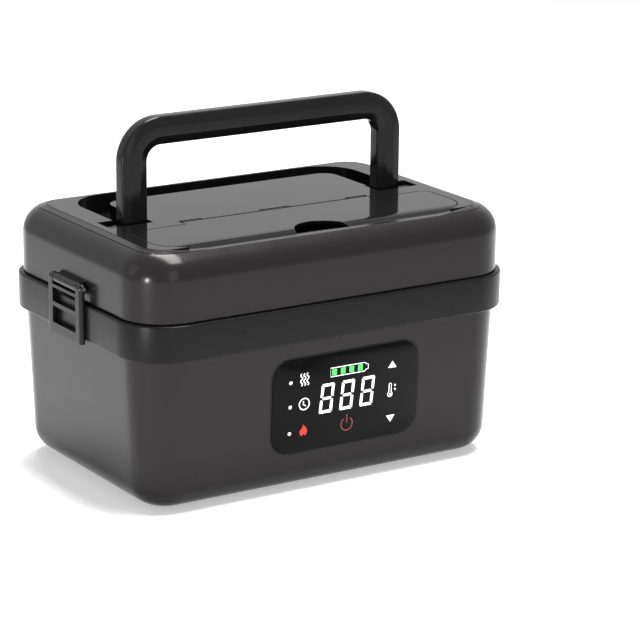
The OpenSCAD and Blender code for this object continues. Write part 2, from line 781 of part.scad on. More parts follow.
latch_out = latch_pin_x + latch_arm_r;
latch_in = latch_pin_x + 0.02;
latch_low = 90.2;
claw_reach = 1.42;
claw_top = 91;
module latch_plate_plan() {
  difference() {
    translate([-latch_half, latch_low]) square([2 * latch_half, latch_pin_z - latch_low]);
    translate([-13.8, 96]) square([27.6, 20.8]);
    translate([-13.9, latch_pin_z - latch_arm_r - 0.4]) square([27.8, 8]);
  }
  translate([-14, 105.8]) square([28, 2.6]);
}

module latch_plate_section() intersection() {
  translate([latch_in, -latch_half]) square([latch_out - latch_in, 2 * latch_half]);
  union() {
    translate([latch_in, -latch_half]) square([latch_out - latch_in - 2, 2 * latch_half]);
    translate([latch_in - 1, -latch_half + 2]) square([latch_out - latch_in + 1, 2 * latch_half - 4]);
    for (s = [-1, 1]) translate([latch_out - 2, s * (latch_half - 2)]) circle(2);
  }
}

module latch() difference() {
  union() {
    intersection() {
      translate([latch_in - 3, 0, 0]) rotate([90, 0, 90]) linear_extrude(height = 8) latch_plate_plan();
      translate([0, 0, latch_low - 1]) linear_extrude(height = 60) latch_plate_section();
    }
    both_y() {
      rod_y(latch_pin_x, 14, 18, latch_pin_z, latch_arm_r);
      translate([latch_pin_x, 18, latch_pin_z]) rotate([-90, 0, 0])
        cylinder(h = 1.5, r1 = latch_arm_r, r2 = latch_arm_r - 1.4);
    }
    box(latch_in - claw_reach, latch_in + 1, -17, 17, latch_low, claw_top);
  }
  rod_y(latch_pin_x, -30, 30, latch_pin_z, latch_pin_r + 0.03);
}

module left_latch() color("#1b1b1d") mirror([1, 0, 0]) latch();

module right_latch() color("#1b1b1d") latch();

outer_shell();
collar_band();
bottom_cover();
rubber_feet();
bottom_screws();
inner_liner();
heating_plate();
heater_bars();
heater_clamp();
insulation_pad();
temperature_probe();
thermal_fuse();
battery_cells();
cell_holder();
cell_straps();
control_board();
board_coils();
board_capacitors();
power_switches();
heat_sink();
connectors();
board_screws();
panel_glass();
panel_bezel();
display_board();
digit_block();
indicator_lights();
touch_springs();
charging_inlet();
inlet_nut();
inlet_ring();
heater_wires();
battery_wires();
display_ribbon();
inlet_wires();
food_container();
lid_shell();
top_panel();
compartment_tray();
lid_liner();
lid_seal();
lid_screws();
top_screws();
handle_pins();
flap_pin();
latch_pins();
handle();
flap();
left_latch();
right_latch();
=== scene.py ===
"""Electric lunch box: finishes, fine skins over the main parts, display symbols, light and camera."""

import json
import math

import bmesh
import bpy
from mathutils import Matrix, Vector


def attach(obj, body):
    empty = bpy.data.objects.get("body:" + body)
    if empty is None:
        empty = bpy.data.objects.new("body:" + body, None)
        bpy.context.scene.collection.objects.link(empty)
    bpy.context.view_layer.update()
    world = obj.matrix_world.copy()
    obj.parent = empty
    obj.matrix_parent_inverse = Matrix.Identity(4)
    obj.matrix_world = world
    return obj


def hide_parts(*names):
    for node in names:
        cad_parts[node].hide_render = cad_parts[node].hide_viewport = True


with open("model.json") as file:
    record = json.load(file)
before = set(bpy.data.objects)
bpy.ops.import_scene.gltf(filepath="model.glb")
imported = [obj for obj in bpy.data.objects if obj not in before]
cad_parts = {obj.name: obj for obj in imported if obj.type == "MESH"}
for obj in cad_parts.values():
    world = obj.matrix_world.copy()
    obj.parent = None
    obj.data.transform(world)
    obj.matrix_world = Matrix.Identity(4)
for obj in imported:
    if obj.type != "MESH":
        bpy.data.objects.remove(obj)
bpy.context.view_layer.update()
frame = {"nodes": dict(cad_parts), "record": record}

MM = 0.001

# Sizes in millimetres, as in the part's source, apart from the thicker section of the handle.
CENTRE_X, CENTRE_Y = 97.5, 56.0
TOP_Z = 153.0
TAPER = math.radians(2.5)
PANEL_X, PANEL_Y, PANEL_Z = 8.9, -80.0, 53.35
PANEL_HALF_W, PANEL_HALF_H, PANEL_CORNER = 51.0, 29.35, 13.0
GLASS_FACE = 0.4
PIVOT_Y, PIVOT_Z = -1.0, 146.8
LEG_OUT, LEG_WIDTH, HANDLE_TOP, HANDLE_CORNER = 95.2, 16.4, 213.0, 25.5
HANDLE_HALF_THICK, BARREL_RADIUS = 5.5, 4.6
TROUGH_OUT, TROUGH_IN, TROUGH_FLOOR = 95.7, 78.7, 141.0
TROUGH_REAR, TROUGH_MID = 67.0, 48.0
WELL_IN, WELL_OUT, WELL_FRONT, WELL_REAR = 77.4, 106.0, -9.2, 6.0
HINGE_Y, HINGE_Z, HINGE_HALF = -16.2, 151.4, 63.6
FLAP_HALF, FLAP_FRONT, FLAP_REAR, FLAP_GAP = 102.7, -69.4, -22.9, 0.6
FRONT_STEP = 1.6
LATCH_PIN_X, LATCH_PIN_Z = 128.2, 122.0
LUG_HALF, LUG_RADIUS = 13.6, 2.9
KNUCKLE_RADIUS = 1.6

# Profiles, measured outward from the centres of the plan corners, and the heights between them.
WALL, FILLET = 2.4, 16.0
BODY_LOW, BODY_TOP, BODY_RHO = 2.0, 92.2, 25.7
SHELL_TOP = 110.0
LEDGE_Z = 110.4
BAND_TOP, BAND_RHO = 113.5, 30.4
LID_LOW, LID_RHO = 113.8, 27.5
LID_TURN = 67.0

# The opening for the flap: half its straight front, and where and how wide its corners turn.
OPENING_SPAN, OPENING_CORNER_Y, OPENING_RADIUS = 81.7, -48.4, 21.6

# Steps round a quarter circle and along a straight side of a lofted shell.
CORNER_STEPS = 20
SIDE_STEPS = 20


def collection_link(obj):
    bpy.context.scene.collection.objects.link(obj)
    return obj


def make_camera():
    data = bpy.data.cameras.new("camera")
    data.lens = 159.2
    data.sensor_width = 36.0
    data.clip_start, data.clip_end = 0.05, 50.0
    camera = collection_link(bpy.data.objects.new("camera", data))
    camera.location = (-0.8478, -1.3842, 0.5442)
    camera.rotation_euler = [math.radians(a) for a in (74.085, -0.528, -32.597)]
    bpy.context.scene.camera = camera


make_camera()


# Materials.

def new_material(name, color, roughness, metallic=0.0, coat=0.0, coat_roughness=0.05, shine=0.5):
    """A Principled material; returns it with its tree, its shader and object coordinates."""
    material = bpy.data.materials.new(name)
    material.use_nodes = True
    tree = material.node_tree
    shader = tree.nodes["Principled BSDF"]
    shader.inputs["Base Color"].default_value = (*color, 1.0)
    shader.inputs["Roughness"].default_value = roughness
    shader.inputs["Metallic"].default_value = metallic
    shader.inputs["Specular IOR Level"].default_value = shine
    shader.inputs["Coat Weight"].default_value = coat
    shader.inputs["Coat Roughness"].default_value = coat_roughness
    place = tree.nodes.new("ShaderNodeTexCoord").outputs["Object"]
    return material, tree, shader, place


def noise(tree, place, scale, detail=3.0, stretch=(1.0, 1.0, 1.0)):
    """A noise pattern of so many bumps to the metre, stretched along the axes."""
    mapping = tree.nodes.new("ShaderNodeMapping")
    mapping.inputs["Scale"].default_value = stretch
    tree.links.new(place, mapping.inputs["Vector"])
    pattern = tree.nodes.new("ShaderNodeTexNoise")
    pattern.inputs["Scale"].default_value = scale
    pattern.inputs["Detail"].default_value = detail
    tree.links.new(mapping.outputs["Vector"], pattern.inputs["Vector"])
    return pattern.outputs["Fac"]


def spread(tree, value, low, high):
    """Maps a pattern to the range low to high."""
    node = tree.nodes.new("ShaderNodeMapRange")
    node.inputs["From Min"].default_value = 0.3
    node.inputs["From Max"].default_value = 0.7
    node.inputs["To Min"].default_value = low
    node.inputs["To Max"].default_value = high
    tree.links.new(value, node.inputs["Value"])
    return node.outputs["Result"]


def two_tone(tree, value, dark, light):
    ramp = tree.nodes.new("ShaderNodeValToRGB")
    ramp.color_ramp.elements[0].position = 0.3
    ramp.color_ramp.elements[1].position = 0.7
    ramp.color_ramp.elements[0].color = (*dark, 1.0)
    ramp.color_ramp.elements[1].color = (*light, 1.0)
    tree.links.new(value, ramp.inputs["Fac"])
    return ramp.outputs["Color"]


def bump(tree, shader, height, strength, distance):
    node = tree.nodes.new("ShaderNodeBump")
    node.inputs["Strength"].default_value = strength
    node.inputs["Distance"].default_value = distance
    tree.links.new(height, node.inputs["Height"])
    tree.links.new(node.outputs["Normal"], shader.inputs["Normal"])


def scaled(color, factor):
    return tuple(min(1.0, c * factor) for c in color)


def textured(name, color, roughness, grain=0.0, grain_scale=2500.0, vary=0.12, rough_vary=0.04,
             stretch=(1.0, 1.0, 1.0), **options):
    """A moulded or metal finish with colour drift, uneven gloss and a fine grain."""
    material, tree, shader, place = new_material(name, color, roughness, **options)
    drift = noise(tree, place, 35.0, 4.0, stretch)
    tree.links.new(two_tone(tree, drift, scaled(color, 1 - vary), scaled(color, 1 + vary)),
                   shader.inputs["Base Color"])
    fine = noise(tree, place, 160.0, 5.0, stretch)
    tree.links.new(spread(tree, fine, roughness - rough_vary, roughness + rough_vary),
                   shader.inputs["Roughness"])
    if grain:
        bump(tree, shader, noise(tree, place, grain_scale, 2.0, stretch), grain, 0.0002)
    return material


def metallic_paint(name, color, roughness):
    """Satin paint with fine metal flakes under a thin clear coat."""
    material, tree, shader, place = new_material(name, color, roughness, metallic=0.5, coat=0.10,
                                                 coat_roughness=0.12, shine=0.12)
    flakes = tree.nodes.new("ShaderNodeTexVoronoi")
    flakes.inputs["Scale"].default_value = 3800.0
    tree.links.new(place, flakes.inputs["Vector"])
    tree.links.new(two_tone(tree, flakes.outputs["Color"], scaled(color, 0.86), scaled(color, 1.16)),
                   shader.inputs["Base Color"])
    cloud = noise(tree, place, 28.0, 3.0)
    tree.links.new(spread(tree, cloud, roughness - 0.03, roughness + 0.03), shader.inputs["Roughness"])
    bump(tree, shader, noise(tree, place, 3000.0, 1.0), 0.06, 0.0001)
    return material


def brushed(name, color, roughness, stretch):
    return textured(name, color, roughness, grain=0.12, grain_scale=900.0, vary=0.06, rough_vary=0.06,
                    stretch=stretch, metallic=1.0)


def glowing(name, color, strength):
    """A printed or lit symbol: it glows evenly, with a faint cloud in its colour."""
    material, tree, shader, place = new_material(name, color, 0.4)
    cloud = noise(tree, place, 900.0, 2.0)
    tint = two_tone(tree, cloud, scaled(color, 0.9), color)
    tree.links.new(tint, shader.inputs["Base Color"])
    tree.links.new(tint, shader.inputs["Emission Color"])
    shader.inputs["Emission Strength"].default_value = strength
    return material


GUNMETAL = (0.017, 0.0156, 0.0154)
MATERIALS = {
    "lid_paint": metallic_paint("lid_paint", GUNMETAL, 0.24),
    "body_paint": metallic_paint("body_paint", GUNMETAL, 0.24),
    "black_plastic": textured("black_plastic", (0.004, 0.004, 0.004), 0.30, grain=0.10, shine=0.14),
    "black_gloss": textured("black_gloss", (0.006, 0.006, 0.006), 0.08, rough_vary=0.02, shine=0.14),
    "panel_black": textured("panel_black", (0.0015, 0.0015, 0.002), 0.05, rough_vary=0.01, shine=0.08),
    "handle_black": textured("handle_black", (0.005, 0.005, 0.005), 0.14, rough_vary=0.03, shine=0.16),
    "latch_black": textured("latch_black", (0.005, 0.005, 0.005), 0.22, grain=0.05, shine=0.18),
    "rubber": textured("rubber", (0.012, 0.012, 0.012), 0.75, grain=0.3),
    "seal_grey": textured("seal_grey", (0.26, 0.26, 0.27), 0.6, grain=0.15),
    "steel": brushed("steel", (0.58, 0.58, 0.59), 0.26, (1.0, 14.0, 14.0)),
    "aluminium": brushed("aluminium", (0.66, 0.67, 0.68), 0.34, (12.0, 1.0, 12.0)),
    "ceramic_grey": textured("ceramic_grey", (0.32, 0.30, 0.27), 0.7, grain=0.3),
    "felt": textured("felt", (0.66, 0.63, 0.56), 0.95, grain=0.9, grain_scale=1500.0),
    "white_plastic": textured("white_plastic", (0.70, 0.70, 0.68), 0.38, grain=0.06, vary=0.03),
    "cell_wrap": textured("cell_wrap", (0.05, 0.20, 0.36), 0.25),
    "board_green": textured("board_green", (0.015, 0.11, 0.045), 0.32, grain=0.1),
    "copper": textured("copper", (0.40, 0.13, 0.05), 0.35, metallic=0.8),
    "brass": textured("brass", (0.58, 0.42, 0.17), 0.3, metallic=1.0),
    "wire_red": textured("wire_red", (0.35, 0.02, 0.015), 0.45),
}
WHITE_GLOW = glowing("white_glow", (0.95, 0.96, 1.0), 1.0)
GREEN_GLOW = glowing("green_glow", (0.05, 0.72, 0.09), 0.9)
RED_GLOW = glowing("red_glow", (0.55, 0.012, 0.01), 0.9)
DIM_RED = glowing("dim_red", (0.14, 0.006, 0.008), 0.9)


def finish_cad_nodes():
    """Every CAD node gets the material of its slot in the record."""
    slots = {row["node"]: row["material_slot"] for row in frame["record"]["subparts"]}
    for node, obj in frame["nodes"].items():
        obj.data.materials.clear()
        obj.data.materials.append(MATERIALS[slots[node]])


finish_cad_nodes()


# Meshes.

def mesh_object(name, vertices, faces, material, sharp=32.0):
    """A smooth-shaded object from points in millimetres, with hard edges over the given angle."""
    mesh = bpy.data.meshes.new(name)
    mesh.from_pydata([tuple(c * MM for c in v) for v in vertices], [], faces)
    mesh.validate()
    obj = collection_link(bpy.data.objects.new(name, mesh))
    settle(obj, material, sharp)
    return obj


def settle(obj, material, sharp=32.0):
    """Outward normals, smooth faces and one material."""
    mesh = obj.data
    work = bmesh.new()
    work.from_mesh(mesh)
    bmesh.ops.remove_doubles(work, verts=work.verts, dist=1e-6)
    bmesh.ops.recalc_face_normals(work, faces=work.faces)
    work.to_mesh(mesh)
    work.free()
    mesh.shade_smooth()
    mesh.set_sharp_from_angle(angle=math.radians(sharp))
    mesh.materials.clear()
    mesh.materials.append(material)


def ring(half_x, half_y, radius, z):
    """Points round a rounded rectangle, the same number for any size."""
    points = []
    for quarter in range(4):
        sx = 1 if quarter in (0, 3) else -1
        sy = 1 if quarter in (0, 1) else -1
        cx, cy = sx * (half_x - radius), sy * (half_y - radius)
        for i in range(CORNER_STEPS + 1):
            angle = math.radians(90 * (quarter + i / CORNER_STEPS))
            points.append((cx + radius * math.cos(angle), cy + radius * math.sin(angle), z))
        nx = 1 if (quarter + 1) % 4 in (0, 3) else -1
        ny = 1 if (quarter + 1) % 4 in (0, 1) else -1
        start = points[-1]
        angle = math.radians(90 * (quarter + 1))
        end = (nx * (half_x - radius) + radius * math.cos(angle),
               ny * (half_y - radius) + radius * math.sin(angle), z)
        for i in range(1, SIDE_STEPS):
            t = i / SIDE_STEPS
            points.append(tuple(a + (b - a) * t for a, b in zip(start, end)))
    return points


def swept(rho, z):
    """The ring of a profile point, rho out from the centres of the lid's and body's corners."""
    return ring(CENTRE_X + rho, CENTRE_Y + rho, rho, z)


def loft(name, rings, material, closed=True, sharp=32.0, shape=None):
    """Joins rings of equal length into a skin; closed joins the last to the first."""
    count = len(rings[0])
    vertices = [p for points in rings for p in points]
    if shape:
        vertices = [shape(p) for p in vertices]
    faces = []
    for j in range(len(rings) if closed else len(rings) - 1):
        a, b = j * count, (j + 1) % len(rings) * count
        for i in range(count):
            k = (i + 1) % count
            faces.append((a + i, a + k, b + k, b + i))
    if not closed:
        faces.append(tuple(range(count)))
        faces.append(tuple(reversed(range((len(rings) - 1) * count, len(rings) * count))))
    return mesh_object(name, vertices, faces, material, sharp)


def arc(cx, cz, radius, start, end, steps):
    """Profile points along an arc, angles in degrees from the outward direction."""
    return [(cx + radius * math.cos(math.radians(start + (end - start) * i / steps)),
             cz + radius * math.sin(math.radians(start + (end - start) * i / steps)))
            for i in range(steps + 1)]


def prism(name, outline, z0, z1, material=None):
    """A straight prism over a 2D outline."""
    count = len(outline)
    vertices = [(x, y, z0) for x, y in outline] + [(x, y, z1) for x, y in outline]
    faces = [tuple(reversed(range(count))), tuple(range(count, 2 * count))]
    faces += [(i, (i + 1) % count, count + (i + 1) % count, count + i) for i in range(count)]
    return mesh_object(name, vertices, faces, material or MATERIALS["black_plastic"])


def block(name, x0, x1, y0, y1, z0, z1):
    return prism(name, [(x0, y0), (x1, y0), (x1, y1), (x0, y1)], z0, z1)


def tube(name, start, end, radius, material=None, steps=48, chamfer=0.0):
    """A round rod between two points, with chamfered ends."""
    start, end = Vector(start), Vector(end)
    along = (end - start).normalized()
    side = along.orthogonal().normalized()
    other = along.cross(side)
    stations = [(start, radius - chamfer), (end, radius - chamfer)]
    if chamfer:
        stations = [stations[0], (start + along * chamfer, radius), (end - along * chamfer, radius),
                    stations[1]]
    vertices = []
    for centre, r in stations:
        for i in range(steps):
            a = 2 * math.pi * i / steps
            vertices.append(tuple(centre + side * (r * math.cos(a)) + other * (r * math.sin(a))))
    faces = []
    for j in range(len(stations) - 1):
        for i in range(steps):
            k = (i + 1) % steps
            faces.append((j * steps + i, j * steps + k, (j + 1) * steps + k, (j + 1) * steps + i))
    faces.append(tuple(reversed(range(steps))))
    faces.append(tuple(range((len(stations) - 1) * steps, len(stations) * steps)))
    return mesh_object(name, vertices, faces, material or MATERIALS["black_plastic"])


def combine(base, tools, operation):
    """Cuts, joins or crosses the base with each tool, and removes the tools."""
    for tool in tools:
        modifier = base.modifiers.new("shape", "BOOLEAN")
        modifier.operation = operation
        modifier.solver = "EXACT"
        modifier.object = tool
        bake(base)
        bpy.data.objects.remove(tool)
    return base


def bake(obj):
    """Applies an object's modifiers to its mesh."""
    depsgraph = bpy.context.evaluated_depsgraph_get()
    depsgraph.update()
    mesh = bpy.data.meshes.new_from_object(obj.evaluated_get(depsgraph))
    old = obj.data
    obj.modifiers.clear()
    obj.data = mesh
    bpy.data.meshes.remove(old)


def soften(obj, width, material, segments=2, angle=35.0):
    """Rounds an object's hard edges by a small bevel."""
    work = bmesh.new()
    work.from_mesh(obj.data)
    bmesh.ops.remove_doubles(work, verts=work.verts, dist=2e-6)
    bmesh.ops.dissolve_limit(work, angle_limit=math.radians(0.6), verts=work.verts, edges=work.edges)
    work.to_mesh(obj.data)
    work.free()
    modifier = obj.modifiers.new("edges", "BEVEL")
    modifier.width = width * MM
    modifier.segments = segments
    modifier.limit_method = "ANGLE"
    modifier.angle_limit = math.radians(angle)
    modifier.use_clamp_overlap = True
    modifier.harden_normals = False
    bake(obj)
    settle(obj, material, 28.0)
    weigh = obj.modifiers.new("normals", "WEIGHTED_NORMAL")
    weigh.keep_sharp = True
    bake(obj)
    obj.data.materials.clear()
    obj.data.materials.append(material)


def join(base, others):
    """Puts other meshes of the same material into the base's mesh."""
    work = bmesh.new()
    work.from_mesh(base.data)
    for other in others:
        work.from_mesh(other.data)
        bpy.data.objects.remove(other)
    work.to_mesh(base.data)
    work.free()
    base.data.shade_smooth()
    base.data.set_sharp_from_angle(angle=math.radians(32.0))


def stand_for(obj, node, body):
    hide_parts(node)
    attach(obj, body)


# Body and lid skins.

def body_skin():
    """The tapered body with its bottom fillet and the edge round the bottom cover."""
    arc_z = BODY_LOW + FILLET
    arc_r = BODY_RHO - (FILLET + (BODY_TOP - arc_z) * math.sin(TAPER)) / math.cos(TAPER)
    outer = [(6.0, BODY_LOW)] + arc(arc_r, arc_z, FILLET, -90, -math.degrees(TAPER), 18)
    outer += [(BODY_RHO - (BODY_TOP - z) * math.tan(TAPER), z) for z in (35, 53, 72, 84)]
    outer += [(BODY_RHO, BODY_TOP), (BODY_RHO, SHELL_TOP)]
    inner = [(23.3, SHELL_TOP), (23.3, BODY_TOP), (20.9, 40.0)]
    inner += arc(arc_r, arc_z, FILLET - WALL, -2.5, -90, 10)
    rings = [ring(95.05, 54.05, 9.0, BODY_LOW), ring(96.5, 55.0, 8.0, BODY_LOW)]
    rings += [swept(max(r, 0.5), z) for r, z in outer + inner]
    rings += [ring(95.05, 54.05, 9.0, BODY_LOW + WALL)]
    skin = loft("body_skin", rings, MATERIALS["body_paint"])
    stand_for(skin, "outer_shell", "base")


def band_skin():
    """The band round the top of the body, with rolled edges and a ledge for the lid."""
    edge = 1.2
    points = [(25.75, BODY_TOP), (27.0, BODY_TOP)]
    points += arc(BAND_RHO - edge, BODY_TOP + edge, edge, -90, 0, 6)
    points += arc(BAND_RHO - edge, BAND_TOP - edge, edge, 0, 90, 6)
    points += [(17.4, BAND_TOP), (17.0, BAND_TOP - 0.4), (17.0, LEDGE_Z), (25.75, LEDGE_Z)]
    skin = loft("band_skin", [swept(r, z) for r, z in points], MATERIALS["black_plastic"])
    stand_for(skin, "collar_band", "base")


def front_limit(x):
    """Height that the lid's rim keeps under along the front, rising at its corners."""
    low = TOP_Z - FRONT_STEP
    return low + max(0.0, min(1.0, (abs(x) - 84.0) / 18.0)) * FRONT_STEP


def lower_front(point):
    """Lowers the rim along the front, and clears the opening of the flap."""
    x, y, z = point
    if y > OPENING_CORNER_Y or z < 150.2:
        return point
    blend = min(1.0, max(0.0, (-y - 56.0) / 8.0))
    z = min(z, front_limit(x) * blend + TOP_Z * (1 - blend))
    if abs(x) <= OPENING_SPAN:
        y = min(y, FLAP_FRONT - FLAP_GAP)
    else:
        dx, dy = abs(x) - OPENING_SPAN, y - OPENING_CORNER_Y
        reach = math.hypot(dx, dy)
        if reach < OPENING_RADIUS:
            x = math.copysign(OPENING_SPAN + dx * OPENING_RADIUS / reach, x)
            y = OPENING_CORNER_Y + dy * OPENING_RADIUS / reach
    return (x, y, z)


def lid_skin():
    """The lid's shell: wall, large fillet, crease, sloping rim and the seat of the top panel."""
    centre, crease_z = LID_RHO - FILLET, TOP_Z - 1.3
    arc_z = crease_z - FILLET * math.sin(math.radians(LID_TURN))
    outer = [(25.5, LID_LOW), (27.1, LID_LOW), (LID_RHO, LID_LOW + 0.4), (LID_RHO, 125.0)]
    outer += arc(centre, arc_z, FILLET, 0, LID_TURN - 1.2, 20)
    crease_r = centre + FILLET * math.cos(math.radians(LID_TURN))
    outer += [(crease_r + 0.02, crease_z - 0.32), (crease_r - 0.28, crease_z - 0.30),
              (crease_r - 0.34, crease_z + 0.08), (crease_r - 0.7, crease_z + 0.20)]
    outer += [(13.45, TOP_Z - 0.09), (13.15, TOP_Z - 0.25), (13.15, 150.25), (11.5, 150.2), (11.5, 148.2)]
    inner = [(16.3, 148.2)] + arc(centre, arc_z, FILLET - WALL, 60, 0, 8) + [(25.1, LID_LOW + 0.4)]
    skin = loft("lid_skin", [swept(r, z) for r, z in outer + inner], MATERIALS["lid_paint"],
                shape=lower_front)
    lugs = []
    for s in (-1, 1):
        lug = tube(f"lug_{s}", (s * LATCH_PIN_X, -LUG_HALF, LATCH_PIN_Z),
                   (s * LATCH_PIN_X, LUG_HALF, LATCH_PIN_Z), LUG_RADIUS, chamfer=0.3)
        web = block(f"web_{s}", *sorted((s * 124.4, s * LATCH_PIN_X)), -13.4, 13.4,
                    LATCH_PIN_Z, LATCH_PIN_Z + LUG_RADIUS)
        lugs += [lug, web]
    join(skin, lugs)
    stand_for(skin, "lid_shell", "lid")


# Top panel and flap.

def rounded_outline(half_x, half_y, radius, centre_y=0.0):
    return [(x, y + centre_y) for x, y, _ in ring(half_x, half_y, radius, 0)]


def corner(cx, cy, radius, start, end, steps=18):
    return [(x, y) for x, y in arc(cx, cy, radius, start, end, steps)]


def flap_outline(grow, tab):
    """The flap's plan: wide round front corners, small rear ones, and a tab at the hinge."""
    w, f, b = FLAP_HALF + grow, FLAP_FRONT - grow, FLAP_REAR + grow
    big, small = 21.0 + grow, 7.0 + grow
    half_tab = HINGE_HALF + grow
    right = corner(w - big, f + big, big, -90, 0) + corner(w - small, b - small, small, 0, 90, 8)
    right += [(half_tab, b), (half_tab, tab)]
    left = [(-x, y) for x, y in reversed(right)]
    return right + left


def trough_outline(grow):
    """The U that takes the folded handle."""
    out, inner = TROUGH_OUT + grow, TROUGH_IN - grow
    rear, mid, front = TROUGH_REAR + grow, TROUGH_MID - grow, WELL_FRONT - grow
    big, small = 24.5 + grow, 10.0 - grow
    right = [(inner, front), (out, front)] + corner(out - big, rear - big, big, 0, 90)
    right_inner = corner(inner - small, mid - small, small, 90, 0)
    left = [(-x, y) for x, y in reversed(right)]
    left_inner = [(-x, y) for x, y in reversed(right_inner)]
    return right + left + left_inner + right_inner


def top_skin():
    """The glossy top: plate, trough, wells of the legs and the fixed knuckles of the flap."""
    gloss = MATERIALS["black_gloss"]
    plate = prism("top_skin", rounded_outline(CENTRE_X + 13.0, CENTRE_Y + 13.0, 13.0), TOP_Z - 2.7, TOP_Z)
    walls = [prism("trough_wall", trough_outline(1.8), TROUGH_FLOOR - 1.8, TOP_Z - 1.5)]
    for s in (-1, 1):
        walls.append(block(f"well_wall_{s}", *sorted((s * (WELL_IN - 1.8), s * (WELL_OUT + 1.8))),
                           WELL_FRONT - 1.8, WELL_REAR + 1.8, TROUGH_FLOOR - 1.8, TOP_Z - 1.5))
    combine(plate, walls, "UNION")
    cuts = [prism("flap_cut", flap_outline(FLAP_GAP, HINGE_Y + 1.9), TOP_Z - 5, TOP_Z + 5),
            prism("trough_cut", trough_outline(0.0), TROUGH_FLOOR, TOP_Z + 5)]
    for s in (-1, 1):
        cuts.append(block(f"well_cut_{s}", *sorted((s * WELL_IN, s * WELL_OUT)),
                          WELL_FRONT, WELL_REAR, TROUGH_FLOOR, TOP_Z + 5))
    combine(plate, cuts, "DIFFERENCE")
    soften(plate, 0.45, gloss, segments=3)
    knuckles = []
    for x in (-30, 30):
        knuckles.append(tube(f"knuckle_{x}", (x - 19.5, HINGE_Y, HINGE_Z), (x + 19.5, HINGE_Y, HINGE_Z),
                             KNUCKLE_RADIUS))
        knuckles.append(block(f"knuckle_web_{x}", x - 19.5, x + 19.5, HINGE_Y + 0.4, HINGE_Y + 3.2,
                              TOP_Z - 2.7, TOP_Z - 0.02))
    join(plate, knuckles)
    stand_for(plate, "top_panel", "lid")


def flap_skin():
    """The flap: bevelled front edge, half-round finger notch and its own knuckles."""
    gloss = MATERIALS["black_gloss"]
    plate = prism("flap_skin", flap_outline(0.0, HINGE_Y - 1.9), TOP_Z - 2.4, TOP_Z)
    f = FLAP_FRONT
    slope = [(0, TOP_Z - 4), (0, TOP_Z + 1), (f + 9.5, TOP_Z + 1), (f + 9.5, TOP_Z)]
    slope += [(f + out, TOP_Z - drop) for out, drop in (
        (7.5, 0.03), (6, 0.10), (4.6, 0.26), (3.3, 0.56), (2.2, 0.98), (1.2, 1.50), (-1, 2.0), (-1, 4))]
    keep = prism("flap_slope", slope, -120, 120)
    turn = Matrix(((0, 0, 1, 0), (1, 0, 0, 0), (0, 1, 0, 0), (0, 0, 0, 1)))
    keep.data.transform(turn)
    combine(plate, [keep], "INTERSECT")
    notch = prism("notch_cut", corner(0, f - 1, 17.5, 0, 180, 40) + [(-17.5, f - 6), (17.5, f - 6)],
                  TOP_Z - 6, TOP_Z + 3)
    combine(plate, [notch], "DIFFERENCE")
    soften(plate, 0.4, gloss, segments=3)
    parts = []
    for x, half in ((-56.5, 6), (0, 10), (56.5, 6)):
        parts.append(tube(f"flap_knuckle_{x}", (x - half, HINGE_Y, HINGE_Z), (x + half, HINGE_Y, HINGE_Z),
                          KNUCKLE_RADIUS))
        parts.append(block(f"flap_web_{x}", x - half, x + half, HINGE_Y - 2.2, HINGE_Y,
                           HINGE_Z - KNUCKLE_RADIUS, HINGE_Z))
    ribs = ((-85, -30, -62, -60.6), (30, 85, -62, -60.6), (-85, 85, -28, -26.6))
    for i, (x0, x1, y0, y1) in enumerate(ribs):
        parts.append(block(f"flap_rib_{i}", x0, x1, y0, y1, TOP_Z - 5, TOP_Z - 2.3))
    join(plate, parts)
    stand_for(plate, "flap", "compartment_flap")


# Handle and latches.

def rounded_section(points, radius, steps=3):
    """Rounds each corner of a closed 2D polygon with a small arc."""
    result = []
    count = len(points)
    for i, p in enumerate(points):
        p = Vector(p)
        to_last = (Vector(points[i - 1]) - p)
        to_next = (Vector(points[(i + 1) % count]) - p)
        cut = min(radius, to_last.length * 0.45, to_next.length * 0.45)
        a, b = p + to_last.normalized() * cut, p + to_next.normalized() * cut
        for k in range(steps + 1):
            t = k / steps
            result.append(tuple(a * (1 - t) ** 2 + p * (2 * t * (1 - t)) + b * t ** 2))
    return result


def handle_skin():
    """The bail handle: a facetted bar bent at two corners, on round barrels in the wells."""
    half_w, half_t = LEG_WIDTH / 2, HANDLE_HALF_THICK
    quarter = [(2.9, -half_t), (half_w - 0.8, -half_t + 1.2), (half_w, -half_t + 2.0)]
    right = quarter + [(x, -y) for x, y in reversed(quarter)]
    section = rounded_section(right + [(-x, y) for x, y in reversed(right)], 0.5)
    middle = LEG_OUT - LEG_WIDTH / 2
    bend = HANDLE_CORNER - LEG_WIDTH / 2
    path = [((middle, PIVOT_Z), (1, 0)), ((middle, 170.0), (1, 0))]
    for i in range(25):
        a = math.radians(90 * i / 24)
        nx, nz = math.cos(a), math.sin(a)
        path.append(((LEG_OUT - HANDLE_CORNER + bend * nx, HANDLE_TOP - HANDLE_CORNER + bend * nz), (nx, nz)))
    path += [((-x, z), (-nx, nz)) for (x, z), (nx, nz) in reversed(path)]
    rings = [[(x + nx * w, PIVOT_Y + t, z + nz * w) for w, t in section] for (x, z), (nx, nz) in path]
    skin = loft("handle_skin", rings, MATERIALS["handle_black"], closed=False, sharp=30.0)
    barrels = [tube(f"barrel_{s}", (s * (WELL_IN + 0.4), PIVOT_Y, PIVOT_Z),
                    (s * (WELL_OUT - 0.4), PIVOT_Y, PIVOT_Z), BARREL_RADIUS, chamfer=0.5) for s in (-1, 1)]
    join(skin, barrels)
    stand_for(skin, "handle", "carry_handle")


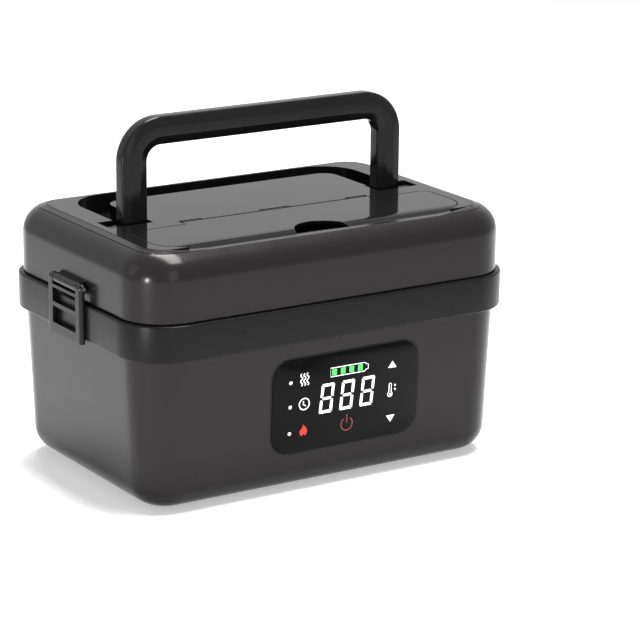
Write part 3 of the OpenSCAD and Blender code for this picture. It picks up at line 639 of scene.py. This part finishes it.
def latch_skins():
    """Both latches, with their edges rounded."""
    for side in ("left", "right"):
        source = frame["nodes"][f"{side}_latch"]
        skin = collection_link(bpy.data.objects.new(f"{side}_latch_skin", source.data.copy()))
        soften(skin, 0.35, MATERIALS["latch_black"], segments=2, angle=30.0)
        stand_for(skin, f"{side}_latch", f"latch_{side}")


# Display.

def on_panel(u, v, out):
    """A point on the display in millimetres: right and up from its centre, and out of its wall."""
    return (PANEL_X + u, PANEL_Y - v * math.sin(TAPER) - out * math.cos(TAPER),
            PANEL_Z + v * math.cos(TAPER) - out * math.sin(TAPER))


def panel_ring(inset, out):
    points = ring(PANEL_HALF_W - inset, PANEL_HALF_H - inset, PANEL_CORNER - inset, 0)
    return [on_panel(u, v, out) for u, v, _ in points]


def display_skins():
    """The glass with a polished edge, and the thin ring round it."""
    glass_rings = [panel_ring(1.15, -1.55), panel_ring(1.15, GLASS_FACE - 0.35),
                   panel_ring(1.25, GLASS_FACE - 0.12), panel_ring(1.5, GLASS_FACE)]
    glass = loft("glass_skin", glass_rings, MATERIALS["panel_black"], closed=False)
    stand_for(glass, "panel_glass", "base")
    edge = [(0.0, -1.55), (0.0, 0.05), (0.25, 0.25), (0.8, 0.25), (1.1, 0.0), (1.1, -1.55)]
    rim = loft("bezel_skin", [panel_ring(i, o) for i, o in edge], MATERIALS["black_gloss"])
    stand_for(rim, "panel_bezel", "base")


class Symbols:
    """Collects thin flat shapes on the display's face, and makes one piece of them."""

    def __init__(self, name, material):
        self.name = name
        self.material = material
        self.vertices = []
        self.faces = []

    def shape(self, outline):
        base = len(self.vertices)
        count = len(outline)
        for lift in (GLASS_FACE - 0.02, GLASS_FACE + 0.05):
            self.vertices += [on_panel(u, v, lift) for u, v in outline]
        self.faces.append(tuple(range(base, base + count)))
        self.faces.append(tuple(range(base + count, base + 2 * count)))
        for i in range(count):
            k = (i + 1) % count
            self.faces.append((base + i, base + k, base + count + k, base + count + i))

    def stroke(self, points, width, closed=False):
        """A line of even width through points, as one quad a stretch."""
        points = [Vector(p) for p in points]
        last = len(points)
        sides = []
        for i, p in enumerate(points):
            before = points[i - 1] if i or closed else p
            after = points[(i + 1) % last] if i < last - 1 or closed else p
            way = (after - before).normalized()
            off = Vector((-way.y, way.x)) * width / 2
            sides.append((p + off, p - off))
        for i in range(last if closed else last - 1):
            a, b = sides[i], sides[(i + 1) % last]
            self.shape([tuple(a[1]), tuple(b[1]), tuple(b[0]), tuple(a[0])])

    def disc(self, u, v, radius, steps=20):
        self.shape([(u + radius * math.cos(2 * math.pi * i / steps),
                     v + radius * math.sin(2 * math.pi * i / steps)) for i in range(steps)])

    def arc_line(self, u, v, radius, start, end, width, steps=24):
        self.stroke([(u + radius * math.cos(math.radians(start + (end - start) * i / steps)),
                      v + radius * math.sin(math.radians(start + (end - start) * i / steps)))
                     for i in range(steps + 1)], width)

    def finish(self):
        piece = mesh_object(self.name, self.vertices, self.faces, self.material)
        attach(piece, "base")


def digit(symbols, u, v):
    """One seven-segment eight with slanted, mitred bars."""
    half_w, half_h, bar, gap, lean = 4.4, 8.9, 1.75, 0.35, 0.09

    def lean_over(points):
        return [(u + x + y * lean, v + y) for x, y in points]

    for s in (-1, 1):
        y = s * half_h
        symbols.shape(lean_over([(-half_w + gap, y), (half_w - gap, y),
                                 (half_w - bar - gap * 0.4, y - s * bar),
                                 (-half_w + bar + gap * 0.4, y - s * bar)]))
        for t in (-1, 1):
            x = s * half_w
            top, low = t * (half_h - gap - 0.25), t * (gap + 0.35)
            symbols.shape(lean_over([(x, top), (x, low + t * 0.3), (x - s * bar * 0.5, low),
                                     (x - s * bar, low + t * 1.0), (x - s * bar, top - t * bar)]))
    reach = half_w - bar * 0.55 - gap
    symbols.shape(lean_over([(-reach, 0), (-reach + 0.8, bar * 0.45), (reach - 0.8, bar * 0.45), (reach, 0),
                             (reach - 0.8, -bar * 0.45), (-reach + 0.8, -bar * 0.45)]))


def draw_display():
    """Digits, battery, and plain symbols for steam, clock, heat, power, up, down and temperature."""
    white = Symbols("display_white", WHITE_GLOW)
    for u in (-13.0, 0.9, 14.8):
        digit(white, u, 1.4)
    for u, v in ((-37.8, 14.45), (-37.8, -0.25), (-37.8, -16.35)):
        white.disc(u, v, 1.05)
    for i in (-1, 0, 1):
        white.stroke([(-28.5 + i * 2.1 + 0.65 * math.sin(k * math.pi / 4), 11.6 + k * 0.46)
                      for k in range(17)], 0.62)
    white.arc_line(-28.3, 0.35, 3.4, 0, 360, 0.62, 40)
    white.stroke([(-28.9, 2.1), (-28.9, 0.0), (-27.3, -0.9)], 0.6)
    outline = [(-10.9, 13.9), (12.4, 13.9), (13.6, 14.9), (14.9, 15.2), (14.9, 17.9), (13.6, 18.2),
               (12.4, 19.2), (-10.9, 19.2)]
    white.stroke(outline, 0.42, closed=True)
    for s, v in ((1, 14.95), (-1, -18.25)):
        white.shape([(31.8 - 2.9, v - s * 1.9), (31.8 + 2.9, v - s * 1.9), (31.8, v + s * 2.2)])
    stem = [(30.1, -1.9), (30.1, 2.6)]
    stem += [(30.9 - 0.8 * math.cos(k * math.pi / 6), 2.7 + 0.8 * math.sin(k * math.pi / 6))
             for k in range(7)]
    stem += [(31.7, -1.9)]
    white.stroke(stem, 0.42)
    white.arc_line(30.9, -3.2, 1.55, -238, 58, 0.42)
    white.disc(30.9, -3.2, 0.7)
    white.disc(34.3, 1.9, 0.6)
    white.disc(34.3, -0.5, 0.6)
    white.finish()

    green = Symbols("display_green", GREEN_GLOW)
    for i in range(4):
        u = -8.3 + i * 5.9
        green.shape([(u - 1.55, 14.7), (u + 1.55, 14.7), (u + 1.55, 18.4), (u - 1.55, 18.4)])
    green.finish()

    red = Symbols("display_red", RED_GLOW)
    flame = [(-28.6, -12.0), (-27.6, -13.4), (-26.7, -13.9), (-26.2, -15.2), (-25.9, -16.6), (-26.3, -18.0),
             (-27.4, -18.9), (-28.3, -17.6), (-29.2, -18.9), (-30.4, -18.3), (-31.0, -17.0), (-30.7, -15.6),
             (-29.8, -14.6), (-29.0, -13.6)]
    red.shape(flame)
    red.finish()

    power = Symbols("display_power", DIM_RED)
    power.arc_line(1.3, -16.6, 3.9, -235, 55, 0.75, 32)
    power.stroke([(1.3, -15.9), (1.3, -10.9)], 0.75)
    power.finish()


body_skin()
band_skin()
lid_skin()
top_skin()
flap_skin()
handle_skin()
latch_skins()
display_skins()
draw_display()


# Floor, background and light.

def seen_rays(tree):
    """One for rays from the camera and for those that a glossy or clear surface sends on."""
    path = tree.nodes.new("ShaderNodeLightPath")
    total = path.outputs["Is Camera Ray"]
    for kind in ("Is Glossy Ray", "Is Transmission Ray"):
        either = tree.nodes.new("ShaderNodeMath")
        either.operation = "MAXIMUM"
        tree.links.new(total, either.inputs[0])
        tree.links.new(path.outputs[kind], either.inputs[1])
        total = either.outputs["Value"]
    return total


def make_floor():
    """A wide pale floor that keeps the object's shadow; the camera and reflections see it white."""
    floor = prism("floor", [(-6000, -6000), (6000, -6000), (6000, 6000), (-6000, 6000)], -4.0, -0.02)
    material, tree, shader, place = new_material("floor", (0.86, 0.86, 0.86), 0.9)
    tree.links.new(two_tone(tree, noise(tree, place, 3.0), (0.84, 0.84, 0.84), (0.88, 0.88, 0.88)),
                   shader.inputs["Base Color"])
    lift = tree.nodes.new("ShaderNodeMath")
    lift.operation = "MULTIPLY"
    lift.inputs[1].default_value = 0.38
    tree.links.new(seen_rays(tree), lift.inputs[0])
    shader.inputs["Emission Color"].default_value = (1.0, 1.0, 1.0, 1.0)
    tree.links.new(lift.outputs["Value"], shader.inputs["Emission Strength"])
    floor.data.materials.clear()
    floor.data.materials.append(material)


def make_world():
    """White behind the object and in its reflections, a dim grey studio for the light on it."""
    world = bpy.data.worlds.new("studio")
    bpy.context.scene.world = world
    world.use_nodes = True
    tree = world.node_tree
    tree.nodes.clear()
    output = tree.nodes.new("ShaderNodeOutputWorld")
    seen = tree.nodes.new("ShaderNodeBackground")
    seen.inputs["Color"].default_value = (1.0, 1.0, 1.0, 1.0)
    seen.inputs["Strength"].default_value = 1.0
    studio = tree.nodes.new("ShaderNodeBackground")
    studio.inputs["Color"].default_value = (1.0, 1.0, 1.0, 1.0)
    studio.inputs["Strength"].default_value = 0.26
    mix = tree.nodes.new("ShaderNodeMixShader")
    tree.links.new(seen_rays(tree), mix.inputs["Fac"])
    tree.links.new(studio.outputs["Background"], mix.inputs[1])
    tree.links.new(seen.outputs["Background"], mix.inputs[2])
    tree.links.new(mix.outputs["Shader"], output.inputs["Surface"])


def softbox(name, place, aim, width, height, watts):
    """A rectangular lamp at a place in metres, facing a point."""
    data = bpy.data.lights.new(name, "AREA")
    data.shape = "RECTANGLE"
    data.size, data.size_y = width, height
    data.energy = watts
    lamp = collection_link(bpy.data.objects.new(name, data))
    lamp.location = place
    lamp.rotation_euler = (Vector(aim) - Vector(place)).to_track_quat("-Z", "Y").to_euler()


make_floor()
make_world()
CENTRE = (0.0, 0.0, 0.09)
softbox("front_strip", (-0.25, -1.5, 0.55), CENTRE, 0.5, 1.2, 3.0)
softbox("top_box", (0.15, 0.0, 1.3), CENTRE, 1.2, 0.5, 42.0)
softbox("left_box", (-1.5, 0.5, 0.7), CENTRE, 0.5, 1.0, 2.0)
softbox("corner_strip", (-1.15, -0.50, 0.12), CENTRE, 0.07, 0.22, 8.0)

bpy.context.scene.view_settings.view_transform = "Standard"
